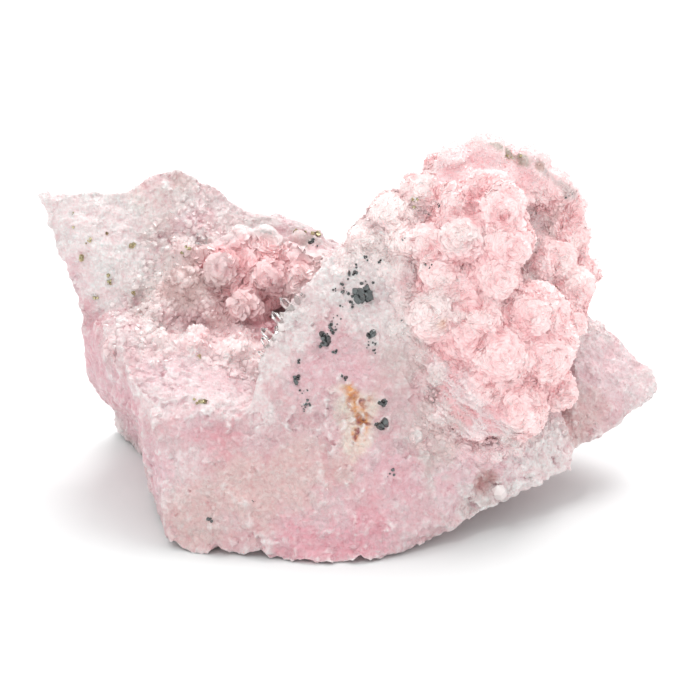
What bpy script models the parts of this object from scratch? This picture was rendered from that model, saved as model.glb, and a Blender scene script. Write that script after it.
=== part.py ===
"""A hand-sized rhodochrosite specimen: pink massive rock with a hollow on its left, a mound of
rosettes on its right and a pointed splinter behind it.

Blender 4.5, metres, +Z up.  X runs along the specimen's length, Y from its front to its back, and the
origin is under its middle, on the flat that it rests on.  Each object left in the scene is one piece.
"""

import math
import random

import bmesh
import bpy
from mathutils import Matrix, Vector, noise
from mathutils.bvhtree import BVHTree

MM = 0.001  # every size below is in millimetres

# Driving dimensions
ROCK_VOXEL = 0.85  # grid on which the blocks of the rock grow together
CRUST_VOXEL = 0.7  # the same for the two crystal crusts
FIT_GAP = 0.35  # clearance between the rock and the crystals that it carries
ROCK_FACES = 3300
MOUND_FACES = 2600
VUG_FACES = 1150

# Blocks of the rock.  Each is the convex form between its corners, (x, y, z).
ROCK_BLOCKS = {
    "front wall": [
        (-25.5, -25, -1), (-12, -29, -1), (-7, -30.5, -1), (-1, -30.5, -1), (5, -28.5, 1),
        (10, -26, 1.2), (16, -22, 3), (21.5, -20, 5), (-28.6, -19, 19.5), (-14.8, -20, 18),
        (-31, -2, -1), (-33, 0, 20), (12, 0, -1), (18, -4, 12),
    ],
    "leaning crest": [
        (-14.8, -20, 18), (-12.8, -17.8, 23.8), (-12.1, -16, 28), (-9.8, -14.3, 32), (-8, -13.4, 33.9),
        (-4.2, -12, 37.6), (-2.2, -11, 40.4), (2, -7, 44), (12, -5, 46), (-3, -29, 2), (9, -27, 3),
        (20, -19, 8), (-10, -12, 20), (-4, -8, 30), (5, -2, 42), (14, 4, 44), (14, 0, 15), (-8, -8, 12),
    ],
    "bench": [
        (-28.6, -19, 19.5), (-14.8, -20, 18), (-32, -14, 24), (-22, -6, 24.7), (-11.5, -10, 19),
        (-34, 0, 24), (-14, 0, 20), (-28, -19, 5), (-14, -19, 5), (-32, 0, 5), (-12, 0, 5),
    ],
    "left shoulder": [
        (-40.4, 2, 23.5), (-40, 4, 16), (-39.5, 8, 10.6), (-32.2, -14.5, 24), (-34, -8, 28),
        (-28, -4, 27), (-30, 8, 28), (-38, 10, 28), (-33, -12, 16), (-36, 10, 8), (-30, 0, 8),
    ],
    "left step": [
        (-37, 6, 14), (-37, 10, 9), (-38.4, 19, -1), (-38.4, 19, 9), (-32, 10, -1), (-31, -6, 12),
        (-28, 20, -1), (-26, 0, 14),
    ],
    "wing": [
        (-46.6, 3.6, 45), (-38.1, 7, 43.8), (-34.5, 8, 43.6), (-43.6, 5, 37.5), (-41.2, 3, 29.5),
        (-40.4, 2, 24), (-32, 0, 30), (-30, 6, 38), (-36, 16, 38), (-34, 18, 26), (-38, 14, 24),
    ],
    "wing peak": [
        (-34.5, 8, 43.5), (-31.4, 10, 45.4), (-28.4, 11, 47), (-25.6, 12, 46.2), (-21, 14, 42),
        (-16.4, 15, 38.6), (-30, 0, 28), (-22, 2, 30), (-15, 6, 28), (-32, 20, 30), (-24, 23, 32),
        (-14, 22, 28), (-34, 16, 10), (-12, 22, 8), (-30, 4, 12), (-12, 6, 10),
    ],
    "saddle": [
        (-16.4, 15, 38.6), (-9.2, 14, 38), (-4.8, 12.6, 34.4), (-3, 12, 33.6), (4, 10, 31), (-14, 22, 33),
        (0, 22, 29), (6, 18, 28), (-14, 6, 26), (-4, 4, 26), (6, 4, 28), (-12, 20, 8), (6, 20, 8),
        (-10, 6, 10), (6, 4, 10),
    ],
    "rear base": [
        (-25, -10, -1), (-31.8, 11, -1), (-37.9, 20, -1), (-20, 28, -1), (5, 28, -1), (17, 16, -1),
        (18, 0, -1), (10, -16, -1), (-38, 16, 14), (-20, 28, 12), (8, 27, 14), (26, 14, 16),
        (28, 0, 14), (20, -12, 12),
    ],
    "mound core": [
        (4, -6, 44.5), (12, -3, 49), (20, 2, 51), (27, 6, 47), (32, 7, 40), (33, 4, 32), (32, 2, 22),
        (29, -6, 16), (22, -15, 14), (14, -18, 16), (10, -14, 28), (14, -9, 40), (24, -9, 36),
        (27, -10, 24), (8, 12, 42), (20, 18, 42), (30, 16, 34), (32, 14, 20), (20, 22, 20),
        (8, 18, 30), (16, 0, 8), (26, 2, 8), (24, 14, 6),
    ],
    "splinter": [
        (48, 2, 13.8), (47, 3, 15.8), (45.5, 2, 11.7), (40, 4, 19.2), (36.5, 5, 24.4), (34, 6, 27),
        (34, -2, 20), (38, 0, 8.9), (33, -6, 8), (32, -10, 7), (34, 14, 20), (42, 8, 14), (34, 14, 10),
        (28, 0, 10), (28, 8, 22),
    ],
    "lower right": [
        (15.7, -22, 3), (21.5, -20, 4.7), (27, -17, 6), (33, -12, 6.6), (33.5, -10, 10), (30, -8, 16),
        (22, -18, 14), (14, -22, 12), (10, -20, 6), (28, 2, 8), (16, 0, 4), (20, -4, 16),
    ],
}

# The mound of rosettes on the right: blocks that fill it, and rounded knots on them, (x, y, z, radius).
MOUND_BLOCKS = {
    "crown": [
        (12, -3, 50), (19.5, -1, 52.6), (24.7, 1, 51), (30.6, 2.5, 46.5), (33, 5, 43.5), (13.7, -7, 46),
        (21.9, -6.5, 46.5), (28, -2, 44.5), (10, 7, 45), (22, 11, 47), (31, 12, 40), (26, 10, 36),
    ],
    "left crest": [
        (3.4, -7.5, 44), (1.6, -8.5, 41), (7, -4, 47.2), (12, -4, 47.8), (12.5, -9, 42), (6, -10.5, 38),
        (8, 0, 45), (12, -4, 38),
    ],
    "centre": [
        (16.9, -8.5, 47.6), (23.4, -10.2, 45.4), (23.9, -11, 39.6), (21.4, -12.4, 35.6), (12, -8, 44.5),
        (12.4, -10.4, 40.8), (9.6, -10.4, 39), (9.6, -11.4, 34.2), (9, -3, 45), (26, -4, 43),
        (26, -5, 36), (12, -2, 34),
    ],
    "lower bulge": [
        (9.6, -13, 30.2), (16.4, -14.4, 31), (23, -12.6, 34.6), (29.4, -10, 32), (31, -10, 26.4),
        (30, -11, 23), (27.2, -13.6, 18), (25, -15.4, 14), (21.4, -17.4, 15), (14.2, -18.6, 16.4),
        (9.8, -16, 23), (21, -17.4, 23.4), (16, -16, 29), (14, -4, 28), (28, -2, 28), (24, -6, 15),
    ],
    "right group": [
        (28.6, -2.6, 38), (30.6, -0.6, 43), (33.4, 5, 42), (33.6, 5, 37), (34.8, 6, 32), (34, 4, 27),
        (30.8, -5.4, 28), (29, -4, 33), (28, 8, 40), (30, 9, 28),
    ],
}
MOUND_KNOTS = {
    "crown left": (15, -1, 50, 3),
    "crown middle": (20, 0, 51.3, 3.4),
    "crown right": (26, 1, 49, 3.4),
    "crown far right": (30, 2, 45.5, 3.2),
    "crown low left": (10, -5, 47, 3),
    "crown front": (19.5, -7, 48, 3),
    "left shoulder": (5.4, -7.5, 44.6, 2.6),
    "left edge": (1.6, -9, 41.4, 2),
    "left druse": (7, -9.5, 41, 2.6),
    "right knob": (33, 4, 42.3, 2.2),
    "right upper": (32.6, 3, 38, 2.8),
    "right edge": (34.6, 4, 32.6, 2.6),
    "white knob": (36, 5.4, 31.4, 1.6),
    "right middle": (32, -2.5, 31.5, 3.8),
    "right inner": (30, -3, 36.5, 3),
    "right low": (31.6, -5, 27.6, 3.4),
    "right foot": (33.4, 3.6, 27, 2.4),
    "centre top": (21, -10, 46, 3.8),
    "centre middle": (21.8, -12, 41.6, 4.1),
    "centre low": (20.5, -13.5, 37.6, 3.6),
    "left upper": (14.5, -9, 46.4, 2.8),
    "left pale knot": (15.2, -11.4, 41.8, 3.4),
    "left small": (10.8, -10.4, 42, 2.4),
    "left small low": (12, -12.4, 37.6, 2.8),
    "left low": (12.8, -13, 31.4, 4.8),
    "middle": (18.5, -15, 30.4, 3.8),
    "right bulge top": (26.4, -13, 31, 4.6),
    "right bulge": (27.6, -14, 26, 4.6),
    "middle low": (21, -16.6, 26, 4.4),
    "bottom rosette": (23.8, -17, 18, 4.4),
    "bottom left": (17.5, -17.6, 21.4, 3.8),
    "bottom right": (29.6, -11.6, 19.4, 3.2),
    "pale ledge": (12.6, -16.4, 24, 2.8),
    "bottom ledge": (17.6, -18.6, 16.4, 2.8),
    "bottom ledge left": (13.4, -18.6, 18.4, 2.4),
    "rear crown": (23, 8, 47.4, 3.6),
    "rear crown left": (14, 6, 47, 3.4),
    "rear right": (30, 9, 42, 3.4),
    "rear right low": (33, 9, 35, 3.2),
    "rear right foot": (33.5, 7, 29, 2.8),
}

# The crystals that line the hollow on the left, made the same way.
VUG_BLOCKS = {
    "back shelf": [
        (-21, 5, 34), (-17, 6, 37.8), (-12, 8, 37), (-4, 8, 33.4), (-3, 6, 31), (-6, 3, 28.6),
        (-12, 2, 29), (-16, 2, 27), (-19, 3, 30), (-20, 12, 32), (-4, 12, 30), (-12, 12, 28),
    ],
    "wing druse": [
        (-30.6, -5, 26.4), (-27, 4, 36), (-22, 7, 36), (-20, 4, 30), (-18, 1, 26), (-27, -5, 24),
        (-24, 0, 29.4), (-28, 10, 30), (-20, 10, 28),
    ],
    "ledge": [
        (-31, -7, 25.4), (-22, -6.4, 25.7), (-15, -6, 24.4), (-12, -6, 22.4), (-12, -2, 19),
        (-28, 2, 22), (-20, 3, 23), (-13.6, -10, 20.8), (-29, -11, 24.4), (-10, -1, 22),
    ],
    "left shoulder": [
        (-37.6, 2.4, 25.4), (-37.4, 3, 30), (-34, -3.6, 27.4), (-33, -6, 24.6), (-30, 0, 24),
        (-32, 6, 30), (-36, 6, 24),
    ],
}
VUG_KNOTS = {
    "upper left": (-20.4, 4.6, 34.4, 2.4),
    "upper": (-16.8, 5.6, 36.6, 2.4),
    "left": (-18.4, 3, 31.4, 2.8),
    "middle": (-14.4, 4.4, 33.4, 3),
    "hanging": (-15.4, 1.6, 27, 2.9),
    "right": (-11, 2.8, 30, 3),
    "upper right": (-9, 4.8, 33.4, 3),
    "far right": (-5.4, 5, 31.4, 2.4),
    "low right": (-7.4, 3.6, 28.8, 2.2),
    "top": (-13, 7.4, 36, 2.4),
    "under the saddle": (-4, 7.4, 33, 1.8),
    "druse top": (-25.4, 4.6, 34.6, 2.4),
    "druse upper": (-24, 1.4, 31, 2.8),
    "druse left": (-28, -2, 27.6, 2.6),
    "druse middle": (-21.4, -0.6, 27.4, 2.8),
    "druse low": (-18.4, -1.4, 25.4, 2.4),
    "ledge left": (-28, -7.4, 24.8, 2.2),
    "ledge middle": (-22.4, -6.4, 25, 2.4),
    "ledge right": (-17, -7, 23.6, 2.4),
    "ledge end": (-13.4, -6.4, 22, 2.4),
    "ledge back": (-16.4, -3.6, 24.2, 2.4),
    "ledge far": (-13, -2.6, 23.6, 2.4),
    "floor": (-10.4, 0, 24, 2.4),
    "shoulder top": (-36.4, 1.4, 29.4, 1.8),
    "shoulder middle": (-35, -1.6, 27, 2),
    "shoulder low": (-33.4, -5, 25, 1.9),
}

# Clear quartz points on the inner edge of the leaning crest: (x, y, z) of the foot, length, width.
QUARTZ_POINTS = [
    ((-12.2, -15.2, 27.8), 1.5, 0.8),
    ((-11.6, -15.0, 29.0), 1.8, 0.9),
    ((-10.8, -14.5, 30.0), 1.5, 0.8),
    ((-10.2, -14.2, 31.0), 1.8, 0.9),
    ((-9.4, -13.8, 32.0), 2.0, 1.0),
    ((-8.6, -13.2, 33.0), 1.8, 0.9),
    ((-7.7, -12.9, 33.9), 2.2, 1.0),
]
QUARTZ_FOOT = 0.6  # half the thickness of the seam of quartz that the points stand on

# Dark zinc blende and brassy pyrite: each grain's nearest point, (x, y, z), its size and its crystals.
SPHALERITE_GRAINS = [
    ((1.7, -14, 34.2), 2.0, 4),
    ((-3.6, -15, 28.2), 1.6, 3),
    ((4.6, -21, 17.7), 1.9, 1),
    ((4.6, -20, 20.6), 1.2, 2),
    ((2.8, -16, 29.1), 1.3, 2),
    ((-7.0, -18, 23.2), 1.2, 1),
]
PYRITE_GRAINS = [
    ((-39.7, 4, 35.4), 1.1, 3),
    ((-36.9, 5, 37.2), 0.9, 1),
    ((-33.3, 5, 35.6), 1.1, 2),
    ((-35.8, 2, 32.2), 1.0, 1),
    ((-32.3, 1, 29.8), 1.0, 1),
    ((-5.5, 13, 34.6), 1.2, 2),
]

# Pits with rusty walls on the front face, and the hole between two quartz blocks: (x, y, z, radius).
PITS = [
    (1.1, -19.6, 20.1, 0.9),
    (1.8, -20.4, 18.2, 1.0),
    (0.8, -21.2, 16.0, 1.1),
    (19.7, -21, 7.4, 1.9),
    (20.2, -20.5, 9.2, 1.3),
]

# How far the cube corners of a grain's crystals reach, as a share of half the crystal's size
CUBE_SHARE = {"sphalerite": 0.78, "pyrite": 0.9}

# Finishes: colour, roughness, metallic
FINISHES = {
    "massive_rhodochrosite": ((0.80, 0.52, 0.54), 0.60, 0.0),
    "rosette_rhodochrosite": ((0.86, 0.50, 0.52), 0.45, 0.0),
    "vug_crystals": ((0.83, 0.56, 0.57), 0.40, 0.0),
    "clear_quartz": ((0.88, 0.84, 0.84), 0.12, 0.0),
    "sphalerite": ((0.05, 0.055, 0.06), 0.30, 0.4),
    "pyrite": ((0.42, 0.36, 0.20), 0.32, 1.0),
}


def clear_scene():
    for obj in list(bpy.data.objects):
        bpy.data.objects.remove(obj)


def finish(obj, slot):
    """Gives the object its material; copies of a finish share one material."""
    material = bpy.data.materials.get(slot)
    if material is None:
        colour, roughness, metallic = FINISHES[slot]
        material = bpy.data.materials.new(slot)
        material.use_nodes = True
        shader = material.node_tree.nodes["Principled BSDF"]
        shader.inputs["Base Color"].default_value = (*colour, 1.0)
        shader.inputs["Roughness"].default_value = roughness
        shader.inputs["Metallic"].default_value = metallic
    obj.data.materials.clear()
    obj.data.materials.append(material)


def new_object(name, bm):
    mesh = bpy.data.meshes.new(name)
    bm.to_mesh(mesh)
    bm.free()
    obj = bpy.data.objects.new(name, mesh)
    bpy.context.scene.collection.objects.link(obj)
    return obj


def remove(obj):
    bpy.data.objects.remove(obj)


def add_hull(bm, corners):
    """Adds the convex form between the corners to bm."""
    points = [bm.verts.new(corner) for corner in corners]
    made = bmesh.ops.convex_hull(bm, input=points)
    inner = {v for v in made["geom_interior"] if isinstance(v, bmesh.types.BMVert)}
    bmesh.ops.delete(bm, geom=list(inner), context="VERTS")


def add_ball(bm, centre, radius, subdivisions):
    place = Matrix.Translation(Vector(centre) * MM)
    bmesh.ops.create_icosphere(bm, subdivisions=subdivisions, radius=radius * MM, matrix=place)


def apply_modifiers(obj):
    """Replaces the object's mesh by what its modifiers make of it."""
    graph = bpy.context.evaluated_depsgraph_get()
    mesh = bpy.data.meshes.new_from_object(obj.evaluated_get(graph))
    obj.modifiers.clear()
    obj.data = mesh


def grow_together(obj, voxel):
    """Makes one closed skin around shapes that overlap."""
    remesh = obj.modifiers.new("grow together", "REMESH")
    remesh.mode = "VOXEL"
    remesh.voxel_size = voxel * MM
    apply_modifiers(obj)


def move_points(obj, height):
    """Moves each vertex along its normal by height(point), both in millimetres."""
    mesh = obj.data
    normals = [Vector(n.vector) for n in mesh.vertex_normals]
    for vertex, normal in zip(mesh.vertices, normals):
        vertex.co += normal * height(vertex.co / MM) * MM


def thin_out(obj, faces):
    """Collapses the mesh to about this many triangles and keeps its ridges."""
    triangles = sum(len(polygon.vertices) - 2 for polygon in obj.data.polygons)
    decimate = obj.modifiers.new("thin out", "DECIMATE")
    decimate.ratio = min(1.0, faces / triangles)
    decimate.use_collapse_triangulate = True
    apply_modifiers(obj)


def cut_away(obj, cutter):
    """Cuts the cutter's form out of the object, and removes the cutter."""
    boolean = obj.modifiers.new("cut away", "BOOLEAN")
    boolean.operation = "DIFFERENCE"
    boolean.solver = "EXACT"
    boolean.use_self = True
    boolean.object = cutter
    apply_modifiers(obj)
    remove(cutter)


def unite(obj):
    """Joins the object's own overlapping bodies into one."""
    nothing = new_object("nothing", bmesh.new())
    boolean = obj.modifiers.new("unite", "BOOLEAN")
    boolean.operation = "UNION"
    boolean.use_self = True
    boolean.object = nothing
    apply_modifiers(obj)
    remove(nothing)


def swollen_copy(obj):
    """A copy that stands FIT_GAP proud of the object all round."""
    copy = obj.copy()
    copy.data = obj.data.copy()
    bpy.context.scene.collection.objects.link(copy)
    move_points(copy, lambda point: FIT_GAP)
    return copy


def keep_largest_body(obj):
    """Drops the crumbs that a cut leaves loose."""
    bm = bmesh.new()
    bm.from_mesh(obj.data)
    unseen = set(bm.verts)
    bodies = []
    while unseen:
        front = [unseen.pop()]
        body = set(front)
        while front:
            vertex = front.pop()
            for edge in vertex.link_edges:
                other = edge.other_vert(vertex)
                if other in unseen:
                    unseen.remove(other)
                    body.add(other)
                    front.append(other)
        bodies.append(body)
    bodies.sort(key=len)
    for body in bodies[:-1]:
        bmesh.ops.delete(bm, geom=list(body), context="VERTS")
    bm.to_mesh(obj.data)
    bm.free()


def rock_relief(point):
    """Chips and hackles of broken rock, in millimetres."""
    broad = noise.noise(point / 9.0) * 0.8
    near, far = noise.voronoi(point / 4.2)[0][:2]
    chips = min(far - near, 0.45) * 1.1
    hackle = noise.fractal(point / 2.4, 1.0, 2.0, 3) * 0.3
    return broad + chips + hackle - 0.25


def rosette_relief(point):
    """The rounded heads of the smaller rosettes and the blades on them, in millimetres."""
    head = 0.55 - noise.voronoi(point / 2.6)[0][0]
    blades = noise.noise(point / 1.1)
    return head * 0.9 + blades * 0.35


def make_rock():
    bm = bmesh.new()
    for corners in ROCK_BLOCKS.values():
        add_hull(bm, [Vector(corner) * MM for corner in corners])
    rock = new_object("matrix", bm)
    grow_together(rock, ROCK_VOXEL)
    move_points(rock, rock_relief)
    for vertex in rock.data.vertices:
        vertex.co.z = max(vertex.co.z, 0.0)
    thin_out(rock, ROCK_FACES)
    for vertex in rock.data.vertices:
        if vertex.co.z < 0.05 * MM:
            vertex.co.z = 0.0
    finish(rock, "massive_rhodochrosite")
    return rock


def make_crust(name, blocks, knots, faces, rock, slot):
    """Blocks and rounded knots grown together, with their back fitted to the rock."""
    bm = bmesh.new()
    for corners in blocks.values():
        add_hull(bm, [Vector(corner) * MM for corner in corners])
    for x, y, z, radius in knots.values():
        add_ball(bm, (x, y, z), radius, 3)
    crust = new_object(name, bm)
    grow_together(crust, CRUST_VOXEL)
    move_points(crust, rosette_relief)
    thin_out(crust, faces)
    cut_away(crust, swollen_copy(rock))
    keep_largest_body(crust)
    finish(crust, slot)


def surface_of(obj):
    bm = bmesh.new()
    bm.from_mesh(obj.data)
    tree = BVHTree.FromBMesh(bm)
    bm.free()
    return tree


def crystal_corners(kind, centre, size, chance):
    """The corners of one crystal, turned by chance: a cube of pyrite, or a many-sided blende."""
    axis = Vector((chance.random(), chance.random(), 1))
    turn = Matrix.Rotation(chance.uniform(0, math.tau), 3, axis)
    half = size / 2
    cube = [Vector((x, y, z)) for x in (-half, half) for y in (-half, half) for z in (-half, half)]
    corners = [corner * CUBE_SHARE[kind] for corner in cube]
    if kind == "sphalerite":
        for axis in (Vector((half, 0, 0)), Vector((0, half, 0)), Vector((0, 0, half))):
            corners += [axis, -axis]
    return [centre + turn @ corner for corner in corners]


def make_grain(name, kind, centre, size, crystals, chance, seats):
    """A grain of one crystal or a few grown together, half sunk; its seat is added to seats."""
    bm = bmesh.new()
    for number in range(crystals):
        away = Vector([chance.uniform(-1, 1) for _ in range(3)]).normalized() * size * 0.5
        middle = centre + away if number else centre
        own_size = size * chance.uniform(0.6, 0.8) if number else size
        corners = crystal_corners(kind, middle, own_size, chance)
        add_hull(bm, [corner * MM for corner in corners])
        swell = 1 + FIT_GAP * 2 / own_size
        add_hull(seats, [(middle + (corner - middle) * swell) * MM for corner in corners])
    grain = new_object(name, bm)
    if crystals > 1:
        unite(grain)
    finish(grain, kind)


def make_grains(rock, seats):
    surface = surface_of(rock)
    chance = random.Random(41)
    for kind, grains in (("sphalerite", SPHALERITE_GRAINS), ("pyrite", PYRITE_GRAINS)):
        for number, (place, size, crystals) in enumerate(grains, 1):
            foot = surface.find_nearest(Vector(place) * MM)[0] / MM
            make_grain(f"{kind}_grain_{number}", kind, foot, size, crystals, chance, seats)


def quartz_point(foot, length, width):
    """The corners of a six-sided prism that ends in a point and leans out over the hollow."""
    lean = Vector((-0.6, 0, 0.8))
    turn = lean.to_track_quat("Z", "X").to_matrix()
    corners = [foot + lean * length]
    for height in (0, length * 0.7):
        for step in range(6):
            angle = math.tau * step / 6
            rim = Vector((math.cos(angle), math.sin(angle), 0)) * width / 2
            corners.append(foot + turn @ (rim + Vector((0, 0, height))))
    return corners


def make_quartz_points(rock):
    """A row of points on a thin seam of quartz."""
    bm = bmesh.new()
    seam = []
    for place, length, width in QUARTZ_POINTS:
        foot = Vector(place)
        add_hull(bm, [corner * MM for corner in quartz_point(foot, length, width)])
        for side in ((1, 0, 0), (-1, 0, 0), (0, 1, 0.5), (0, -1, -0.5)):
            seam.append((foot + Vector(side) * QUARTZ_FOOT) * MM)
    add_hull(bm, seam)
    points = new_object("quartz_points", bm)
    unite(points)
    cut_away(points, swollen_copy(rock))
    keep_largest_body(points)
    finish(points, "clear_quartz")


def centre_on_origin():
    """Moves every piece so that the origin is under the middle of their common box."""
    meshes = [obj.data for obj in bpy.data.objects]
    corners = [vertex.co for mesh in meshes for vertex in mesh.vertices]
    low = [min(corner[axis] for corner in corners) for axis in range(3)]
    high = [max(corner[axis] for corner in corners) for axis in range(3)]
    shift = Vector((-(low[0] + high[0]) / 2, -(low[1] + high[1]) / 2, -low[2]))
    for mesh in meshes:
        mesh.transform(Matrix.Translation(shift))


def main():
    clear_scene()
    rock = make_rock()
    make_crust("rosette_mound", MOUND_BLOCKS, MOUND_KNOTS, MOUND_FACES, rock, "rosette_rhodochrosite")
    make_crust("vug_crystals", VUG_BLOCKS, VUG_KNOTS, VUG_FACES, rock, "vug_crystals")
    make_quartz_points(rock)
    cuts = bmesh.new()
    make_grains(rock, cuts)
    for x, y, z, radius in PITS:
        add_ball(cuts, (x, y, z), radius, 1)
    cut_away(rock, new_object("seats and pits", cuts))
    keep_largest_body(rock)
    centre_on_origin()


main()
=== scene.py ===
import itertools
import math
import random

import bmesh
import bpy
import numpy as np
from mathutils import Matrix, Vector, kdtree, noise
from mathutils.bvhtree import BVHTree


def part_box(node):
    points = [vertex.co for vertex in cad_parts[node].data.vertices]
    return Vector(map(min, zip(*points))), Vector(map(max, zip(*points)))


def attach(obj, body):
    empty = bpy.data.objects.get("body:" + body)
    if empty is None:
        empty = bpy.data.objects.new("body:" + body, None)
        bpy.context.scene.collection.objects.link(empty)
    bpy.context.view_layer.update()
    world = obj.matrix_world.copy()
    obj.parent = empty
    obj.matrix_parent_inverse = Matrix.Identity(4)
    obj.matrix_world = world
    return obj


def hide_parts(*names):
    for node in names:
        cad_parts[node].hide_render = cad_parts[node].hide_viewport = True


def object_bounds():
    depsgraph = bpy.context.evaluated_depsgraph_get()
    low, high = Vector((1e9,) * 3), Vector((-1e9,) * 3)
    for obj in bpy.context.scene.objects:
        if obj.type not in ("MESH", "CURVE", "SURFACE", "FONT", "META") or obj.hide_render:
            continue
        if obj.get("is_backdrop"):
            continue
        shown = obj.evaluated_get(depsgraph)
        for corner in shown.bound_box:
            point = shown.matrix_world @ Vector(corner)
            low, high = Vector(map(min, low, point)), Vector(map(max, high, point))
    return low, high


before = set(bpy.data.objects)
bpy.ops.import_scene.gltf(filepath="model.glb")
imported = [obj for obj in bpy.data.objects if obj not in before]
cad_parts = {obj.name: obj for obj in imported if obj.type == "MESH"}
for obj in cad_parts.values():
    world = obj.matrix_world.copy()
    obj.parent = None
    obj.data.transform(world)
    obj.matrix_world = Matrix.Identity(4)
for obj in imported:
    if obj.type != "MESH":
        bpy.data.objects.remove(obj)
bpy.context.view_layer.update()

# --- The broken rock ---
# Massive rhodochrosite grown through with grey-white quartz, broken out of its vein with a hammer.
# The breaks are sugary and hackly, the back of the hollow is coated in druse, and the foot is flat.

MM = 0.001
ROCK_GRID = 0.4  # mm between the points of the finished surface
ROCK_FACES = 190_000
PATCH = 9  # mm across a calm or a hackly patch
PIT_DEPTH = 1.3  # mm, of the deepest rust pits
POCKET_PLUG = 1.2  # the size of the plug in a crystal's pocket, in times the crystal's own


def linear(hex_colour):
    """A hex sRGB colour as linear RGBA."""
    parts = [int(hex_colour[i : i + 2], 16) / 255 for i in (1, 3, 5)]
    return (*[p / 12.92 if p <= 0.04045 else ((p + 0.055) / 1.055) ** 2.4 for p in parts], 1.0)


def only(piece):
    """Makes this piece the one that operators act on."""
    bpy.ops.object.select_all(action="DESELECT")
    piece.select_set(True)
    bpy.context.view_layer.objects.active = piece


def merged_copy(node, name):
    """A copy of a CAD node's mesh with its loose triangles joined."""
    piece = bpy.data.objects.new(name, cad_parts[node].data.copy())
    bpy.context.scene.collection.objects.link(piece)
    only(piece)
    bpy.ops.object.mode_set(mode="EDIT")
    bpy.ops.mesh.select_all(action="SELECT")
    bpy.ops.mesh.remove_doubles(threshold=0.001 * MM)
    bpy.ops.object.mode_set(mode="OBJECT")
    piece.data.materials.clear()
    return piece


def modify(piece, kind, **settings):
    """Adds a modifier with these settings and applies it."""
    only(piece)
    modifier = piece.modifiers.new(kind.lower(), kind)
    for name, value in settings.items():
        setattr(modifier, name, value)
    bpy.ops.object.modifier_apply(modifier=modifier.name)


def read(rows, field, width=3, kind=np.float32):
    """This field of every row, such as the place of each of a mesh's points."""
    values = np.empty(len(rows) * width, kind)
    rows.foreach_get(field, values)
    return values.reshape(-1, width)


def points_of(mesh):
    """The mesh's points, in mm."""
    return read(mesh.vertices, "co") / MM


def remeshed(piece, grid):
    """Makes the piece one skin of even quads, grid mm wide. Its points and quads are numbered by their
    places, so that every run gives the same piece."""
    modify(piece, "REMESH", mode="VOXEL", voxel_size=grid * MM)
    mesh = piece.data
    points = points_of(mesh)
    by_place = np.lexsort(points.T)
    number = np.argsort(by_place)
    quads = number[read(mesh.loops, "vertex_index", 1, np.int32).reshape(-1, 4)]
    lowest_first = (quads.argmin(axis=1)[:, None] + np.arange(4)) % 4
    quads = np.take_along_axis(quads, lowest_first, axis=1)
    quads = quads[np.lexsort(quads.T[::-1])]
    mesh.clear_geometry()
    mesh.from_pydata((points[by_place] * MM).tolist(), [], quads.tolist())


def near(points, places):
    """How far each point is inside any of these places, (x, y, z, reach) in mm: 1 well in, 0 out."""
    most = np.zeros(len(points), np.float32)
    for *middle, reach in places:
        away = np.linalg.norm(points - np.array(middle, np.float32), axis=1) / reach
        most = np.maximum(most, np.clip(1.6 - 1.2 * away, 0, 1))
    return most


def wander(points, size, amount):
    """The points, each pushed by a smooth noise, so that zones get ragged edges."""
    pushed = [noise.noise_vector(Vector(p) / size) for p in points.tolist()]
    return points + np.array(pushed, np.float32) * amount


def measured(points, height):
    """height(point) of every point."""
    return np.array([height(Vector(p)) for p in points.tolist()], np.float32)


def raise_points(mesh, heights):
    """Moves each point along its normal by its height in mm, but never below the foot."""
    points = points_of(mesh) + read(mesh.vertex_normals, "vector") * heights[:, None]
    points[:, 2] = np.maximum(points[:, 2], 0)
    mesh.vertices.foreach_set("co", (points * MM).ravel())
    mesh.update()


def under_even(mesh, rounds):
    """How deep each point lies under the even surface through its surroundings, in mm; ridges are below 0.
    The more rounds, the wider the surroundings."""
    points = points_of(mesh)
    ends = read(mesh.edges, "vertices", 2, np.int32)
    one, other = ends.T
    neighbours = np.maximum(np.bincount(ends.ravel(), minlength=len(points)), 1)
    even = points.astype(np.float64)
    for _ in range(rounds):
        for axis in range(3):
            column = even[:, axis].copy()
            from_one = np.bincount(other, column[one], len(points))
            even[:, axis] = (np.bincount(one, column[other], len(points)) + from_one) / neighbours
    return ((even - points) * read(mesh.vertex_normals, "vector")).sum(axis=1).astype(np.float32)


def joined(piece, others):
    """Makes the others part of the piece."""
    only(piece)
    for other in others:
        other.select_set(True)
    bpy.ops.object.join()


def with_fills(piece, fills):
    """Adds round heads, (x, y, z, radius) in mm, that close the gaps in and round the piece."""
    heads = []
    for *middle, radius in fills:
        bpy.ops.object.select_all(action="DESELECT")
        bpy.ops.mesh.primitive_ico_sphere_add(subdivisions=3, radius=radius * MM, location=Vector(middle) * MM)
        heads.append(bpy.context.object)
    joined(piece, heads)


def facet(p, size, slope):
    """Small planes that meet along sharp edges, each tilted its own way, as on broken crystals."""
    (first, second, *_), (heart, *_) = noise.voronoi(p / size)
    tilt = noise.noise_vector(heart * 7.3)
    return (p / size - heart).dot(tilt) * slope * size, first, second


def broken_height(p):
    """Chips, steps and cleavage planes of broken massive carbonate."""
    step = noise.noise(Vector((p.x / 5, p.y / 5, p.z / 2.2)))
    bent = p + noise.noise_vector(p / 1.5) * 0.7
    chip, *_ = facet(bent, 3.0, 0.3)
    return step * 0.5 + chip


def sugary_height(p):
    """The single grains that every break shows."""
    grain, *_ = facet(p + noise.noise_vector(p) * 0.4, 1.1, 0.42)
    return grain + noise.fractal(p / 1.3, 0.6, 2.1, 4) * 0.2


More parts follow.
